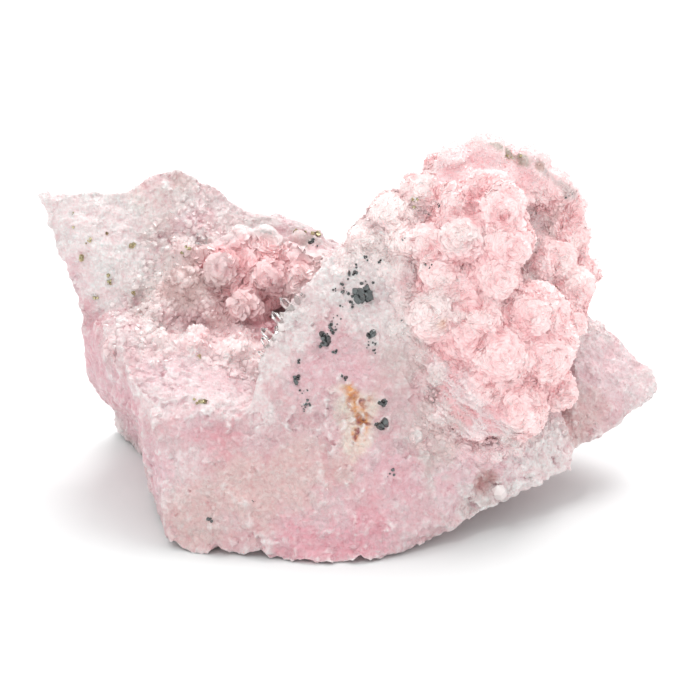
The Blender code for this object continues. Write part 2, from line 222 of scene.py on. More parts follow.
def druse_height(p):
    """Crystal heads of two sizes, grown into each other."""
    bent = p + noise.noise_vector(p / 1.7) * 0.6
    big, near_heart, _ = facet(bent, 2.6, 0.5)
    small, near_small, _ = facet(bent, 1.0, 0.6)
    return big + small + (0.5 - near_heart) * 0.6 + (0.5 - near_small) * 0.25


DRUSY = [
    (-24, 0, 30, 9), (-23, 6, 37, 5), (-27, 6, 35.5, 4.5), (-33, -3, 27, 5), (-29, -9, 25, 4),
    (-21, -3, 27, 6), (-12, -14.5, 29, 2.2), (-9, -13, 33, 2.2), (23, -18, 9, 6), (29, -12, 10, 4.5),
    (18, -20, 6, 4), (26, 0, 40, 6), (31, -4, 34, 4), (2, -10, 38, 3), (5, -10, 41, 3), (11, -19, 16, 3.5),
]

CALM = [
    (-33.4, 6.8, 40.3, 9), (-40, 4, 37, 9), (-36, 3, 32, 7), (-13, 14, 38, 8), (-7, 13, 36, 7),
    (-15, -23.5, 9, 8), (-7, -24, 9, 8), (-22, -21, 12, 6), (38, 0, 17, 8), (33, -3, 16, 6),
]
RUSTY = [(0.6, -18.9, 20.1, 1.7), (1.3, -19.7, 18.2, 1.7), (0.3, -20.5, 16, 1.7)]
POCKETS = [f"{mineral}_grain_{number}" for mineral in ("sphalerite", "pyrite") for number in range(1, 7)]
INWARDS = Vector((0, 0.86, -0.5))

noise.seed_set(1795460143)  # without a seed, noise_vector follows the clock and no two runs are the same
rock = merged_copy("matrix", "broken_rock")
pocket_fills = []
for node in POCKETS:
    low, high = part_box(node)
    reach = max(high - low) / 2 / MM
    pocket_fills.append((*((low + high) / 2 / MM + INWARDS * reach * 0.6), reach * POCKET_PLUG))
for *middle, _ in RUSTY:
    pocket_fills.append((*(Vector(middle) + INWARDS * 0.9), 1.4))
with_fills(rock, pocket_fills)
remeshed(rock, ROCK_GRID)
modify(rock, "SMOOTH", factor=0.5, iterations=3)
rock_points = points_of(rock.data)
drusy = near(wander(rock_points, 4, 1.5), DRUSY)
patches = measured(rock_points, lambda p: noise.noise(p / PATCH)) * 2.2 + 0.3
calm = np.maximum(near(rock_points, CALM), np.clip(patches, 0, 1))
relief = measured(rock_points, broken_height) * (1 - 0.7 * calm)
relief += measured(rock_points, sugary_height) * (1 - 0.25 * calm)
relief = relief * (1 - drusy) + measured(rock_points, druse_height) * drusy
pits = np.maximum(0, measured(rock_points, lambda p: noise.fractal(p / 1.1, 0.8, 2, 3)))
relief -= near(rock_points, RUSTY) * pits * PIT_DEPTH
raise_points(rock.data, relief)

FOOT = [(0, -6, 0, 17), (-14, -10, 0, 12), (14, 2, 0, 14), (2, 8, 0, 14)]  # what it stands on
rock_points = points_of(rock.data)
ragged = measured(rock_points * (1, 1, 0), lambda p: noise.fractal(p / 3, 0.8, 2, 3))
rock_points[:, 2] = np.maximum(rock_points[:, 2], (1 - near(rock_points, FOOT)) * (0.7 + 1.5 * ragged))
rock.data.vertices.foreach_set("co", (rock_points * MM).ravel())
modify(rock, "DECIMATE", ratio=min(1, ROCK_FACES / (2 * len(rock.data.polygons))))

TINTS = {
    "massive": "#D3B2B4",
    "pink": "#DBB3BA",
    "raspberry": "#DAA3AF",
    "deep": "#D4818F",
    "coral": "#F5B9BD",
    "shell": "#FFF3F1",
    "rose": "#FEDADB",
    "snow": "#E8E0DE",
    "milky": "#DED4D2",
    "smoke": "#CDBDB9",
    "buff": "#D0B3AC",
    "cream": "#E0D3C3",
    "rust": "#DB924A",
    "umber": "#8A4A22",
    # painted shade: a darker brown-pink laid into holes and the depths of the hollow
    "cavity": "#B98A86",
    "olive": "#8F8B78",
    "ash": "#8B8886",
}


def line(start, end, reach, count=5):
    """Places in a row, for a streak."""
    return [(*Vector(start).lerp(Vector(end), step / (count - 1)), reach) for step in range(count)]


# Each zone: its tint, how strong, where (x, y, z, reach in mm) and, if given, how broken up it is.
ROCK_TINTS = [
    ("pink", 0.4, [(-4, -27, 5, 8), (6, -25, 6, 7), (-22, -19, 17, 3), (-4, -18, 25, 6), (2, -22, 14, 5)]),
    ("buff", 0.6, [(-15, -23.5, 9, 6), (-8, -23.5, 11, 5), (-22, -24, 5, 6), (-2, -23, 12, 3)]),
    ("snow", 0.45, [(-26, -21, 10, 4.5)]),
    ("raspberry", 0.12, [(-22, -20, 15.5, 3.2), (-26, -19.5, 15, 2.5), (-15, -21, 15, 2.5)], 1.4),
    # The raspberry and deep zones along the foot, near z = 1 mm, are partly the stone's colour and partly painted shade
    # where light falls off near the floor.
    ("raspberry", 0.36, [(-8, -28, 1, 5), (-1, -28, 1.2, 5), (6.5, -23, 11, 3.5)], 1.4),
    ("raspberry", 0.2, [(-6, -17.5, 24.5, 2.6), (-0.5, -17.7, 24.7, 2.4), (4, -26.7, 4, 3.5)], 1.0),
    ("deep", 0.4, [(-6, -28, 1.5, 5), (0, -28, 1.5, 4), (-19, -20.5, 15, 3), (3, -26, 5, 3)], 2.4),
    ("snow", 0.4, [(-21, -11, 22.5, 4), (-27, -11, 23.5, 4), (-33, -6, 26, 4), (-16, -10, 22, 4)], 1.2),
    ("pink", 0.8, [(-33, -12, 16, 7), (-31, -18, 9, 6), (-34, 4, 8, 8), (-39, -1, 18, 7), (-41, 3, 31, 5)]),
    ("deep", 0.25, [(-34, 0, 12, 8), (-39, 0, 22, 7), (-33, -12, 14, 5)], 1.8),
    ("snow", 0.7,
        [(-29, -16.5, 20.5, 3.6), (-24.5, -15.5, 21.5, 3.6), (-19, -16.5, 20.5, 4), (-14, -17.5, 19.5, 3)]),
    ("pink", 0.4, [(-25, -13, 22, 5), (-18, -13, 21.5, 5)], 1.5),
    ("milky", 0.9, [(-12, -16.5, 25, 3.4), (-10, -14.5, 30, 3.2), (-7, -14, 31.5, 3), (-4, -12.5, 35, 3.2)]),
    ("snow", 0.9, [(-2, -11, 37.5, 3.6), (2, -10, 39, 3.6)]),
    ("snow", 0.8, [(2, -10, 37, 5), (0, -13, 33, 4), (5, -13, 32, 5)]),
    ("smoke", 0.7, [(6.5, -16, 25.5, 4), (10.5, -18.6, 17, 4), (12, -21, 11, 3.4)]),
    ("milky", 0.7, [(4.4, -14.4, 29.5, 3.4), (6.5, -14, 30, 4)]),
    ("milky", 0.8, [(14, -21.5, 8, 3.6), (19, -19, 7, 5), (22, -18, 9.5, 4)]),
    ("pink", 0.7, [(16, -21, 10, 3), (20, -19.5, 11, 3), (24, -17, 10, 2.6), (13, -21.5, 7, 2.4)], 2.2),
    ("smoke", 0.6, [(12, -20.5, 13, 2.6), (17.5, -20, 6, 2.4), (27, -14, 9, 2.4)], 2.2),
    ("snow", 0.8, [(28.6, -12.7, 10.4, 5), (25.5, -17, 8, 4)]),
    ("snow", 0.9, [(-39, 5, 41, 6), (-43, 4, 42, 5), (-36, 2, 33, 6), (-41, 3, 37, 4)]),
    ("snow", 0.8, [(-33.5, 6.8, 40, 5), (-33, 3, 34, 5)]),
    ("cream", 0.4, [(-30, 9.5, 43.5, 4), (-27, 11, 45, 3.4)]),
    ("snow", 0.6, [(-29, 9, 42.5, 3.5), (-25, 10, 41.5, 3.5)], 1.2),
    ("smoke", 0.75, [(-28, 6.8, 38, 3.6), (-24, 3, 32, 6), (-29, 0, 29, 5), (-24, 7, 36.5, 4)]),
    ("milky", 0.5, [(-25, 8, 38.5, 3), (-23.5, 6.5, 35.5, 3)]),
    ("snow", 0.8, [(-19, 13, 40, 4), (-14, 14, 38, 4), (-8, 14, 36.6, 5), (-4, 12, 34, 3)]),
    ("pink", 0.5, [(-19, 14, 41, 3), (-15, 15, 39.5, 3), (-11, 15.5, 38, 3)]),
    ("snow", 0.7, [(39.3, 0.4, 17.6, 6), (44, 2, 14.5, 4), (36, 3, 21, 5)]),
    ("pink", 0.5, [(38, 0, 17, 7), (33, -2, 17, 5)], 1.5),
    ("buff", 0.5, [(34, -4, 13, 4), (32, -6, 11, 4)]),
    ("cream", 0.8, [(0.6, -19.4, 19, 3.4), (0, -20.6, 15.6, 2.6)], 0.8),
    ("rust", 0.95,
        line((-0.6, -18.2, 21.8), (0.6, -18.9, 20), 1.1, 4) + line((0.7, -19.2, 19.3), (1.7, -20, 16.9), 1.0)
        + line((0, -20.4, 16.2), (1, -20.9, 14.9), 0.9, 3) + line((1.6, -18.2, 21.8), (2.6, -18.4, 20.8), 0.5, 3),
        1.4),
    ("umber", 0.6,
        line((0, -18.5, 20.9), (0.5, -18.9, 20), 0.45, 3) + line((1, -19.5, 18.6), (1.5, -20, 17.3), 0.55, 4)
        + line((0.2, -20.5, 15.9), (0.9, -20.8, 15.3), 0.6, 3), 1.0),
    # painted shade in the hole at the lower right
    ("cavity", 1.0, [(19.2, -20, 8.6, 1.9), (18.6, -20, 8.2, 1.7)], 0.3),
    ("ash", 0.8,
        line((-16.2, 14, 38.2), (-13.6, 14.3, 37), 0.45) + line((-13.4, 14.4, 37.9), (-12.8, 14.4, 37.3), 0.5, 3), 0.6),
    ("olive", 0.8,
        [(-8.2, 12.4, 35, 1.1), (-6.8, 12, 34.6, 1.3), (-5.2, 12.2, 34.8, 1.2), (-4, 12, 34.3, 0.9)], 2.0),
    ("ash", 0.6,
        [(-36.3, 1.6, 31.2, 0.7), (-38.6, 2.2, 28.8, 0.5), (-41.8, 4.4, 41.4, 0.5), (-41.6, 3, 39.4, 0.5)], 1.5),
]


def colour_of(tint):
    """A tint, given by its name or as each point's own colour, in the form that a mesh stores."""
    return np.array(linear(TINTS[tint]), np.float32) if isinstance(tint, str) else tint


def paint(mesh, base, zones, over=()):
    """Stores each point's tint: the base, then each zone's in turn, then those over them all, which are
    given with each point's share. Zones with a reach over 2 mm get wandering edges."""
    points = points_of(mesh)
    ragged = wander(wander(points, 5, 1.8), 1.6, 1.0)
    frayed = measured(points, lambda p: noise.fractal(p / 1.3, 0.6, 2.1, 4)) * 0.5
    colours = np.tile(colour_of(base), (len(points), 1))
    for tint, strength, places, *broken in zones:
        share = near(ragged if places[0][3] > 2 else points, places)
        share = share * 1.5 - 0.25 + frayed * (broken[0] if broken else 1) * (share > 0)
        share = (np.clip(share, 0, 1) * strength)[:, None]
        colours += (colour_of(tint) - colours) * share
    for tint, share in over:
        colours += (colour_of(tint) - colours) * np.clip(share, 0, 1)[:, None]
    layer = mesh.color_attributes.new("tint", "FLOAT_COLOR", "POINT")
    layer.data.foreach_set("color", colours.ravel())


def tints_beside(points, source):
    """The tint of the source's point that lies nearest to each of these."""
    stored = read(source.data.color_attributes["tint"].data, "color", 4)
    tree = tree_of(points_of(source.data).tolist())
    return stored[[tree.find(p)[1] for p in points.tolist()]]


def tree_of(places):
    """The places, to find the one that is nearest."""
    tree = kdtree.KDTree(len(places))
    for index, place in enumerate(places):
        tree.insert(place, index)
    tree.balance()
    return tree


CLOUD = 10  # mm across a cloud of colour on the back
# Painted shade and highlight: hollows are painted redder and darker, and ridges paler, by how deep each point lies
# under the even surface.
hollow_depth = under_even(rock.data, 3)
rock_points = points_of(rock.data)
behind = np.clip((rock_points[:, 1] - 5) / 8, 0, 1)
clouds = measured(rock_points, lambda p: noise.fractal(Vector((p.x, p.y, p.z * 1.6)) / CLOUD, 0.7, 2.1, 5)) * behind
paint(
    rock.data,
    "massive",
    ROCK_TINTS,
    [
        ("raspberry", np.minimum(clouds * 1.4, 0.5)),
        ("milky", np.minimum(-clouds * 2.4, 0.8)),
        ("smoke", behind * 0.25),
        # painted highlight on the ridges, then painted shade in the hollows
        ("snow", -hollow_depth * 4 - 0.2),
        ("raspberry", hollow_depth * 1.5 - 0.1),
    ],
)


def add(tree, kind, inputs=None, **settings):
    """Adds a shader node with its settings, and sets or links its inputs."""
    node = tree.nodes.new(kind)
    for name, value in settings.items():
        setattr(node, name, value)
    for name, value in (inputs or {}).items():
        if isinstance(value, bpy.types.NodeSocket):
            tree.links.new(value, node.inputs[name])
        else:
            node.inputs[name].default_value = value
    return node


def new_material(name, **finish):
    """A material with a Principled shader, its sockets set by name."""
    material = bpy.data.materials.new(name)
    material.use_nodes = True
    shader = material.node_tree.nodes["Principled BSDF"]
    for socket, value in finish.items():
        shader.inputs[socket.replace("_", " ")].default_value = value
    return material, material.node_tree, shader


def stone(name, grain, sparkle, mottle, pit, wisps=0.0, depth=0.4, **finish):
    """Carbonate whose painted tint is mottled from 3 mm down to single grains, grain mm across, with white
    wisps, pitted breaks and faces that glint. Light goes depth mm into it, which softens its shadows."""
    material, tree, shader = new_material(name, **finish)
    where = add(tree, "ShaderNodeTexCoord").outputs["Object"]
    tint = add(tree, "ShaderNodeVertexColor", layer_name="tint").outputs["Color"]

    def between(value, low, high, first, last):
        spread = {"Value": value, "From Min": low, "From Max": high, "To Min": first, "To Max": last}
        return add(tree, "ShaderNodeMapRange", spread).outputs[0]

    def cloud(size, detail, warp):
        pattern = {"Vector": where, "Scale": 1 / (size * MM), "Detail": detail, "Roughness": 0.7, "Distortion": warp}
        return add(tree, "ShaderNodeTexNoise", pattern).outputs["Fac"]

    def sum_of(first, second, operation="ADD"):
        return add(tree, "ShaderNodeMath", {0: first, 1: second}, operation=operation).outputs[0]

    def share_of(value, share):
        return sum_of(value, share, "MULTIPLY")

    def vector(first, operation, second):
        return add(tree, "ShaderNodeVectorMath", {0: first, **second}, operation=operation).outputs[0]

    cells = add(tree, "ShaderNodeTexVoronoi", {"Vector": where, "Scale": 1 / (grain * MM)})
    each = add(tree, "ShaderNodeSeparateColor", {"Color": cells.outputs["Color"]})
    # The tint: clouds, their fine structure and single grains. Dark places are redder than pale ones.
    broad = between(cloud(3.0, 8.0, 1.0), 0.36, 0.64, -1.0, 1.0)
    close = between(cloud(0.6, 6.0, 0.8), 0.34, 0.66, -1.0, 1.0)
    single = between(each.outputs["Red"], 0.0, 1.0, -1.0, 1.0)
    mixed = sum_of(sum_of(share_of(broad, 0.45), share_of(close, 0.45)), share_of(single, 0.35))
    factors = {
        axis: between(mixed, -1.0, 1.0, 1 - mottle * darker, 1 + mottle * paler)
        for axis, darker, paler in (("X", 0.35, 0.2), ("Y", 1, 0.7), ("Z", 0.9, 0.7))
    }
    mottled = vector(tint, "MULTIPLY", {1: add(tree, "ShaderNodeCombineXYZ", factors).outputs[0]})
    # White wisps run along the middle heights of a warped cloud, mostly where the stone is pale.
    ridge = sum_of(sum_of(cloud(1.9, 6.0, 1.8), 0.5, "SUBTRACT"), 0.0, "ABSOLUTE")
    wisp = sum_of(between(ridge, 0.0, 0.045, wisps, 0.0), between(broad, -0.6, 0.8, 0.1, 1.0), "MULTIPLY")
    white = add(tree, "ShaderNodeMix", {0: wisp, 6: mottled, 7: linear("#F6ECEA")}, data_type="RGBA")
    tree.links.new(white.outputs[2], shader.inputs["Base Color"])
    # Each grain's face is tilted its own way, and the pits between the grains are 0.3 mm deep.
    centred = vector(cells.outputs["Color"], "SUBTRACT", {1: (0.5, 0.5, 0.5)})
    tilt = vector(centred, "SCALE", {"Scale": sparkle})
    tilted = vector(add(tree, "ShaderNodeNewGeometry").outputs["Normal"], "ADD", {1: tilt})
    relief = {
        "Height": sum_of(cloud(0.7, 8.0, 0.4), wisp), "Normal": vector(tilted, "NORMALIZE", {}),
        "Strength": pit, "Distance": 0.3 * MM,
    }
    tree.links.new(add(tree, "ShaderNodeBump", relief).outputs["Normal"], shader.inputs["Normal"])
    shader.inputs["Subsurface Radius"].default_value = (1.0, 0.6, 0.6)
    shader.inputs["Subsurface Scale"].default_value = depth * MM
    return material


# Fresh breaks through massive carbonate: half-glossy and cloudy pink, shot with white wisps, with single
# grains that catch the light. The real grains, about 0.1 mm, are too fine to show and drawn coarser.
rock.data.materials.append(
    stone(
        "massive_rhodochrosite_broken", grain=0.33, sparkle=0.45, mottle=0.27, pit=0.65, wisps=0.4,
        Roughness=0.36, IOR=1.6, Subsurface_Weight=0.15,
    )
)
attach(rock, "root")
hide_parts("matrix")

# --- The mound of rosettes ---
# Rhodochrosite that grew freely into an open space: round heads, each a rose of thin curved blades.
# Blades near a rose's heart stand up, those near its rim lean out, and all melt into one skin.

CRUST_GRID = 0.3  # mm between the points of a grown crust's surface
CRUST_FACES = 190_000
HEAD_GAP = 6.6  # mm between the hearts of neighbouring roses
HEAD_REACH = 5  # mm from a rose's heart to its foot
KNOB_GAP = 2.8  # mm, as above, of the small knobs on them
BLADE_GAP = 0.36  # mm between blades
BLADE_WIDTH, BLADE_HEIGHT = 0.42, 0.47  # mm; the width is half of the whole
ROSE_REACH = 2.6  # mm from a rose's heart to where its blades lean furthest
SUNK = 0.68  # how much of a crystal's height is under the skin
chance = random.Random(5)


def faces_of(mesh):
    """The centre, in mm, and the normal of each face."""
    return read(mesh.polygons, "center") / MM, read(mesh.polygons, "normal")


def scattered(mesh, gap, allowed):
    """Faces spread by chance over the allowed ones, at least gap mm apart, as (place, normal)."""
    centres, normals = faces_of(mesh)
    order = np.flatnonzero(allowed).tolist()
    chance.shuffle(order)
    taken = {}
    chosen = []
    for index in order:
        place = centres[index].tolist()
        x, y, z = [math.floor(v / gap) for v in place]
        around = itertools.product((x - 1, x, x + 1), (y - 1, y, y + 1), (z - 1, z, z + 1))
        if all(math.dist(place, other) >= gap for cell in around for other in taken.get(cell, ())):
            taken.setdefault((x, y, z), []).append(place)
            chosen.append((Vector(place), Vector(normals[index].tolist())))
    return chosen


def tree_of_faces(mesh):
    """The mesh's surface in mm, to find the nearest place on it or to send rays at it."""
    return BVHTree.FromPolygons([v.co / MM for v in mesh.vertices], [p.vertices for p in mesh.polygons])


def spaced(mesh, gap, given=()):
    """Places over the mesh, about gap mm apart: the given ones, then the rest by an uneven lattice."""
    surface = tree_of_faces(mesh)
    points = points_of(mesh)
    first = np.floor((points.min(axis=0) - gap) / gap).astype(int).tolist()
    last = np.floor((points.max(axis=0) + gap) / gap).astype(int).tolist()
    places = [surface.find_nearest(place)[0] for place in given]
    for corner in itertools.product(*[range(low, high + 1) for low, high in zip(first, last)]):
        middle = (Vector(corner) + noise.cell_vector(Vector(corner) * 1.01) * 0.8) * gap
        foot, _, _, away = surface.find_nearest(middle)
        if away < gap * 0.6 and all((foot - other).length > gap * 0.75 for other in places):
            places.append(foot)
    return places


def in_heads(points, hearts, reach, crack):
    """For each point, how near it is to its head's heart, 1 to 0, and to the crease between heads, 1 to 0.
    A head has this reach and a crease this width, in mm."""
    rise, crease = np.empty(len(points), np.float32), np.empty(len(points), np.float32)
    for index, point in enumerate(wander(wander(points, 3, 1.2), 1.1, 0.5).tolist()):
        first, second = hearts.find_n(point, 2)
        rise[index] = max(0, 1 - (first[2] / reach) ** 2)
        crease[index] = math.exp(-(((second[2] - first[2]) / crack) ** 2))
    return rise, crease


def choose(test):
    """In edit mode, selects only the points whose place passes the test."""
    mesh = bpy.context.object.data
    bpy.ops.mesh.select_all(action="DESELECT")
    bpy.ops.mesh.select_mode(type="VERT")
    shape = bmesh.from_edit_mesh(mesh)
    for point in shape.verts:
        point.select = test(point.co)
    shape.select_flush_mode()
    bmesh.update_edit_mesh(mesh)


def pattern_begun(primitive, **sizes):
    """Adds a primitive by itself and opens it in edit mode, all of it selected."""
    bpy.ops.object.select_all(action="DESELECT")
    primitive(**sizes)
    bpy.ops.object.mode_set(mode="EDIT")
    bpy.ops.mesh.select_all(action="SELECT")


def pattern_kept():
    """Takes the finished pattern away and returns its points and faces, for repeated()."""
    bpy.ops.object.mode_set(mode="OBJECT")
    piece = bpy.context.object
    points = points_of(piece.data) * MM
    faces = [tuple(polygon.vertices) for polygon in piece.data.polygons]
    bpy.data.objects.remove(piece)
    return points, faces


def blade_pattern():
    """One blade: 2 wide, 1 high, a wedge whose thin round edge curls out at the top."""
    pattern_begun(bpy.ops.mesh.primitive_cube_add, size=1)
    bpy.ops.transform.translate(value=(0, 0.5, 0))
    bpy.ops.transform.resize(value=(1.5, 1, 0.24), center_override=(0, 0, 0))
    choose(lambda p: p.y > 0.9)
    bpy.ops.transform.resize(value=(1.25, 1, 0), center_override=(0, 1, 0))
    bpy.ops.mesh.remove_doubles(threshold=0.001)
    bpy.ops.mesh.subdivide(number_cuts=2)
    choose(lambda p: p.y > 0.9 and abs(p.x) < 0.5)
    bpy.ops.transform.translate(value=(0, 0.28, 0.12))
    return pattern_kept()


def repeated(name, pattern, places):
    """One piece of many copies of the pattern, each placed by a 4x4 matrix in mm."""
    points, faces = pattern
    rows = np.hstack([points, np.ones((len(points), 1))])
    all_points = np.vstack([rows @ np.array(place).T for place in places])[:, :3] * MM
    corners = np.concatenate([np.array(face) for face in faces])
    corners = np.concatenate([corners + copy * len(points) for copy in range(len(places))])
    sizes = np.tile([len(face) for face in faces], len(places))
    mesh = bpy.data.meshes.new(name)
    mesh.vertices.add(len(all_points))
    mesh.vertices.foreach_set("co", all_points.astype(np.float32).ravel())
    mesh.loops.add(len(corners))
    mesh.loops.foreach_set("vertex_index", corners.astype(np.int32))
    mesh.polygons.add(len(sizes))
    mesh.polygons.foreach_set("loop_start", (np.cumsum(sizes) - sizes).astype(np.int32))
    mesh.update(calc_edges=True)
    mesh.validate()
    piece = bpy.data.objects.new(name, mesh)
    bpy.context.scene.collection.objects.link(piece)
    only(piece)
    bpy.ops.object.shade_flat()
    return piece


def beside(normal):
    """Any direction along the surface, by chance."""
    tangent = normal.orthogonal().normalized()
    return Matrix.Rotation(chance.uniform(0, math.tau), 3, normal) @ tangent


def axes_at(foot, x, y, z):
    """The 4x4 matrix that sets a pattern down at its foot, in mm, with its sides along these three."""
    return Matrix.Translation(foot) @ Matrix((x, y, z)).transposed().to_4x4()


def clear_of(tree, seats, reach):
    """The seats outside the tree's body, with nothing of it within reach mm outwards."""
    clear = []
    for place, normal in seats:
        foot, side, *_ = tree.find_nearest(place)
        if (place - foot).dot(side) > -0.2 and tree.ray_cast(place + normal * 0.05, normal, reach)[0] is None:
            clear.append((place, normal))
    return clear


def blade_place(place, normal, hearts, width, height):
    """Where a blade stands in its rose: upright at the heart, leaning out from there, and a little astray."""
    away = place - hearts.find(place)[0]
    away -= normal * away.dot(normal)
    lean = min(away.length / ROSE_REACH, 1)
    away = away.normalized() if away.length > 0.2 else beside(normal)
    up = (normal + away * (0.1 + 0.6 * lean)).normalized()
    astray = Vector([chance.uniform(-0.2, 0.2) for _ in range(3)])
    up = (up + noise.noise_vector(place / 1.8) * 0.8 + astray).normalized()
    out = (away - up * away.dot(up)).normalized()
    across = Matrix.Rotation(chance.gauss(0, 0.6), 3, up) @ out.cross(up).normalized()
    out = up.cross(across).normalized()
    size = width * chance.uniform(0.75, 1.3)
    tall = height * chance.uniform(0.75, 1.3)
    return axes_at(place - up * tall * SUNK, across * size, up * tall, out * size)


BALL = 1.6  # mm, the radius of the heads that an apron is built up from
BALL_GAP = 1.1  # mm between their middles


def apron(mesh, onto, onto_even, reach, top):
    """Low rounded ground round the piece that lets it run out over the rock: top mm high at its edge, and
    gone about half of reach mm away."""
    own = tree_of_faces(mesh)
    body = points_of(mesh)
    centres, _ = faces_of(onto)
    close = np.all((centres > body.min(axis=0) - reach) & (centres < body.max(axis=0) + reach), axis=1)
    for index in np.flatnonzero(close):
        close[index] = own.find_nearest(centres[index].tolist())[3] < reach
    pattern_begun(bpy.ops.mesh.primitive_ico_sphere_add, subdivisions=2, radius=1)
    ball = pattern_kept()
    places = []
    for place, normal in scattered(onto, BALL_GAP, close):
        away = own.find_nearest(place)[3]
        outwards = onto_even.find_nearest(place)[1]
        if outwards.dot(normal) < 0.4:
            continue
        rise = top * (1 - 1.9 * away / reach) + noise.noise(place / 1.6) * 0.35
        places.append(Matrix.Translation(place + outwards * (rise - BALL)) @ Matrix.Scale(BALL, 4))
    return repeated("apron", ball, places)


def distance_to(points, tree):
    """How far each point is from the tree's surface, in mm."""
    return np.array([tree.find_nearest(p)[3] for p in points.tolist()], np.float32)


mound = merged_copy("rosette_mound", "rosette_mound_bladed")
with_fills(
    mound,
    [
        (16.3, -11.5, 34.8, 2.8), (27, -1, 37.5, 2.8), (8.5, -6.8, 43.8, 1.6), (27.5, 1.5, 41.5, 1.8),
        (9.4, -13.4, 31.4, 2.2), (27.5, -4.5, 35.5, 2.4),
    ],
)
bare_rock_tree = tree_of_faces(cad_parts["matrix"].data)
rock_tree = tree_of_faces(rock.data)
joined(mound, [apron(mound.data, rock.data, bare_rock_tree, 4.5, 0.9)])
remeshed(mound, CRUST_GRID)
modify(mound, "DECIMATE", ratio=min(1, CRUST_FACES / (2 * len(mound.data.polygons))))
modify(mound, "SMOOTH", factor=0.5, iterations=8)
HEADS = [
    (15, -3, 52), (21, -2, 53), (26, -1, 50), (30, 0, 46), (10, -7, 48), (19.5, -8, 49), (5, -8.5, 45),
    (3, -10, 41), (21, -13.5, 46), (22, -15, 41.5), (20.5, -17, 37), (14.5, -13.5, 43), (10.5, -12, 41),
    (12, -15, 37), (11, -16, 32.5), (33, 2, 42), (33, 1, 37.5), (35, 2, 32.6), (33, -5, 32), (31, -6, 36.5),
    (32.5, -8, 27.5), (16, -17, 34), (24, -17, 33), (28, -14, 31), (27, -16.5, 26), (21, -20, 28),
    (16, -19, 29), (23, -20.5, 20), (26.5, -17, 20.5), (27, -14, 36),
]
raise_points(mound.data, np.maximum(under_even(mound.data, 150), 0) * 0.55)  # fills the deepest creases
mound_hearts = tree_of(spaced(mound.data, HEAD_GAP, HEADS))
mound_knobs = tree_of(spaced(mound.data, KNOB_GAP))
mound_points = points_of(mound.data)
rise, crease = in_heads(mound_points, mound_hearts, HEAD_REACH, HEAD_REACH * 0.24)
knob_rise, knob_crease = in_heads(mound_points, mound_knobs, 2.2, 0.6)
grain = measured(mound_points, lambda p: noise.fractal(p / 0.9, 0.7, 2, 3))
FIBROUS = [(13.5, -18.9, 20.6, 5), (9, -17, 23, 5), (17, -20, 18, 4), (20, -20, 16.5, 3)]
ALONG = Vector((0.75, -0.25, -0.6)).normalized()  # the way the fibres run
ACROSS = Vector((0.6, 0, 0.75)).normalized()


def fibrous_height(p):
    """Ridges that run down to the right, as long thin crystals lying side by side."""
    return noise.fractal(Vector((p.dot(ALONG) / 4, p.dot(ACROSS) / 0.7, 0.7 * p.y)), 0.7, 2, 3) * 0.42


CROWN = [(20, -1, 54, 7), (26, -1, 51, 5.5), (14, -3, 52.5, 5), (20, 6, 52, 7), (28, 4, 48, 4)]
fibrous = near(mound_points, FIBROUS)
swell = measured(mound_points, lambda p: noise.noise(p / 4))
roses = rise * 0.15 - crease * 0.12 + knob_rise * 0.25 - knob_crease * 0.1 + grain * 0.15 + swell * 0.7 - 0.3
roses = roses * (1 - near(mound_points, CROWN) * 0.5)
raise_points(mound.data, roses * (1 - fibrous) + (measured(mound_points, fibrous_height) - 0.4) * fibrous)
MOUND_TINTS = [
    ("milky", 0.35, CROWN + [(16.7, -2.6, 51, 5), (11, -4, 48.5, 4), (8, -6, 46.5, 3)]),
    ("pink", 0.3, [(18, -3, 52, 3), (13, -4, 50, 3), (25, -2, 50, 3)], 1.5),
    ("shell", 0.65, [(6.5, -8.2, 44.6, 4), (4.4, -9.8, 40.6, 5), (8, -11, 40, 4), (3, -7, 45, 4), (9, -6, 46, 3)]),
    ("smoke", 0.5, [(11.5, -7.5, 43.5, 1.3), (12, -10, 38, 1.6)], 1.5),
    ("snow", 0.6, [(14.4, -13.5, 43.6, 3), (12, -16.2, 33.8, 4), (9, -15, 33, 3)]),
    ("milky", 0.9,
        [(13.5, -18.9, 20.6, 4.5), (9, -17, 23, 5), (17, -20, 18, 4), (7, -14, 28, 3), (20, -20, 16, 3)]),
    ("pink", 0.4, [(13.5, -18.9, 20.6, 5), (9, -17, 23, 4), (18, -20, 17.5, 4)], 1.6),
    ("smoke", 0.6, [(14, -20, 18, 3), (10, -18, 22, 2.4)], 2.0),
    ("shell", 0.6, [(31.9, -3.9, 34.7, 3), (34, 0, 36, 3)]),
    ("smoke", 0.8, [(26, -0.5, 42.5, 2.4), (28.5, 0.5, 40.5, 2.2)], 1.2),
    ("olive", 0.8,
        line((15.6, -3, 53.6), (17.4, -2.6, 54.2), 0.6, 3) + line((19.8, -2.3, 53.5), (21.4, -2, 52.7), 0.7, 4), 1.4),
    ("olive", 0.8, line((22.6, -0.6, 51.6), (24.6, -0.8, 50.6), 1.0), 1.4),
    ("ash", 0.6,
        line((28, -0.6, 48.8), (31, 0.4, 45.8), 0.7, 6) + line((31, 0.5, 45.3), (32.2, 1, 45), 0.8, 3), 1.4),
    ("umber", 0.8, [(27, -1.1, 49.7, 0.9)], 0.8),
    ("rust", 0.5, [(14.6, -18.4, 34.5, 0.8), (12.6, -17, 31.2, 0.9)], 1.5),
]
fine, broad = under_even(mound.data, 5), under_even(mound.data, 60)
mound_points = points_of(mound.data)
close = 1.3 - distance_to(mound_points, rock_tree) / 1.4
paint(
    mound.data,
    "rose",
    MOUND_TINTS,
    [
        # painted shade and light: creases, broad and fine, are painted coral for the shade and glow in them, and ridges
        # paler as painted highlight
        ("coral", np.minimum(broad * 0.9 + fine * 2.5, 0.6)),
        ("shell", np.minimum(-broad * 0.5 - fine * 1.5 - 0.1, 0.3)),
        (tints_beside(mound_points, rock), np.minimum(close, 0.8)),
        ("shell", near(mound_points, [(6, -8, 44, 5), (4, -9.5, 41, 4)]) * 0.3),
    ],
)
